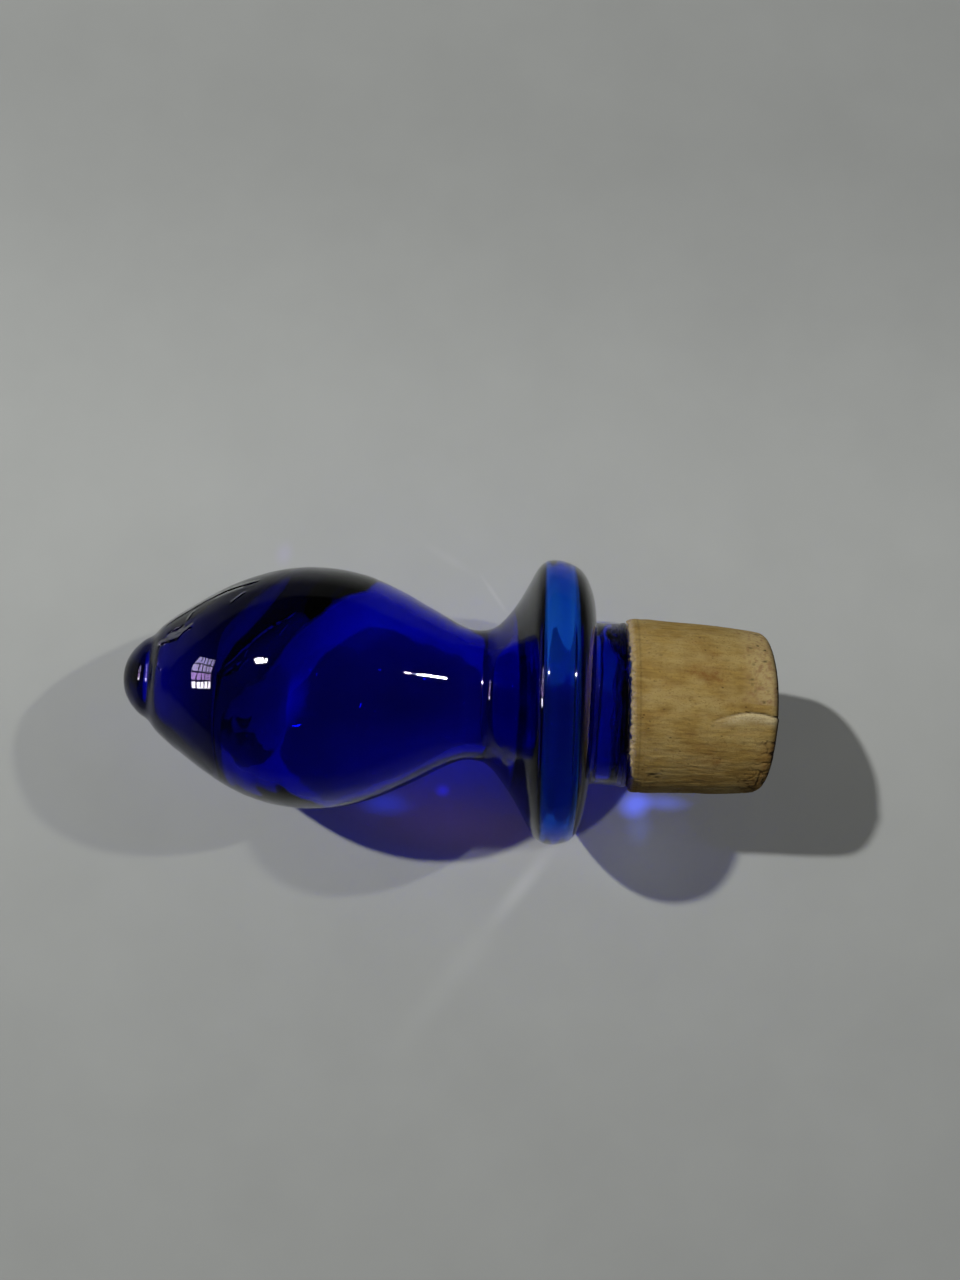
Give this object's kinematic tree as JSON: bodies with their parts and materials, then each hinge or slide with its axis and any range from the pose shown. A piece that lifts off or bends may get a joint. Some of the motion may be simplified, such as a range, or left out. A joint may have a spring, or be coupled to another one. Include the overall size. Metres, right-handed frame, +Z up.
{
  "type": "bottle stopper",
  "caption": "Hollow blown cobalt-blue glass bottle stopper with a bulb finial, folded hollow collar and a tapered natural cork, lying on its side.",
  "frame": {"origin": "centre of the bounding box at its bottom, on the surface that the stopper lies on", "axes": "+Z up; +X from the glass tip towards the cork. The stopper's own axis lies in the XZ plane and rises 4.71 degrees towards +X, because it rests on its bulb and on its wider collar"},
  "size_m": [0.1082, 0.0472, 0.0471],
  "materials": {
    "cobalt_glass": "clear cobalt blue, fire polished",
    "natural_cork": "natural cork, matt, slightly worn and stained"
  },
  "bodies": {
    "finial": {"glass_finial": "cobalt_glass"},
    "cork": {"tapered_cork": "natural_cork"}
  },
  "joints": [
    {"name": "cork_pull", "type": "slide", "parent": "finial", "child": "cork", "axis": [0.9966, 0, 0.082], "range_m": [0, 0.018]}
  ]
}
